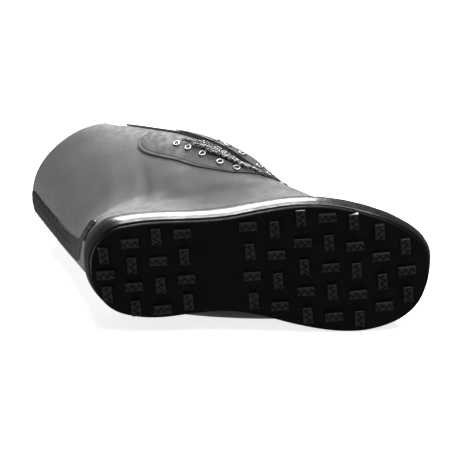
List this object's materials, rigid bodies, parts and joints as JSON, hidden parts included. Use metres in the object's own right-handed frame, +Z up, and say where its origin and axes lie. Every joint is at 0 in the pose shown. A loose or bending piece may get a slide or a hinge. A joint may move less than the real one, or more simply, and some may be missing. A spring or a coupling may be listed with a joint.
{
  "type": "overshoe",
  "caption": "Black and grey laced rubber overshoe with a lugged sole, glossy rand and slack shaft, lying on its inner side.",
  "frame": {"origin": "the flat spot on the rand at the ball of the foot, inner side, where the shoe lies on the floor", "axes": "+X from heel to toe, +Y from the tread towards the top of the shaft, +Z up from the floor towards the shoe's outer side"},
  "size_m": [0.4067, 0.2279, 0.1495],
  "materials": {
    "sole_rubber": "matt moulded black rubber",
    "rand_rubber": "glossy black rubber",
    "coated_fabric": "satin grey coated fabric",
    "panel_fabric": "smooth grey coated fabric",
    "tape": "glossy ribbed tape",
    "eyelet_metal": "bright",
    "lace_cord": "braided black cord with light flecks",
    "insole_felt": "dark felt"
  },
  "bodies": {
    "root": {"outsole": "sole_rubber", "rand": "rand_rubber", "upper": "coated_fabric", "insole": "insole_felt", "tongue": "panel_fabric", "panel_outer": "panel_fabric", "panel_inner": "panel_fabric", "back_strip": "tape", "laces": "lace_cord", "eyelet_01": "eyelet_metal", "eyelet_02": "eyelet_metal", "eyelet_03": "eyelet_metal", "eyelet_04": "eyelet_metal", "eyelet_05": "eyelet_metal", "eyelet_06": "eyelet_metal", "eyelet_07": "eyelet_metal", "eyelet_08": "eyelet_metal", "eyelet_09": "eyelet_metal", "eyelet_10": "eyelet_metal"}
  },
  "joints": []
}
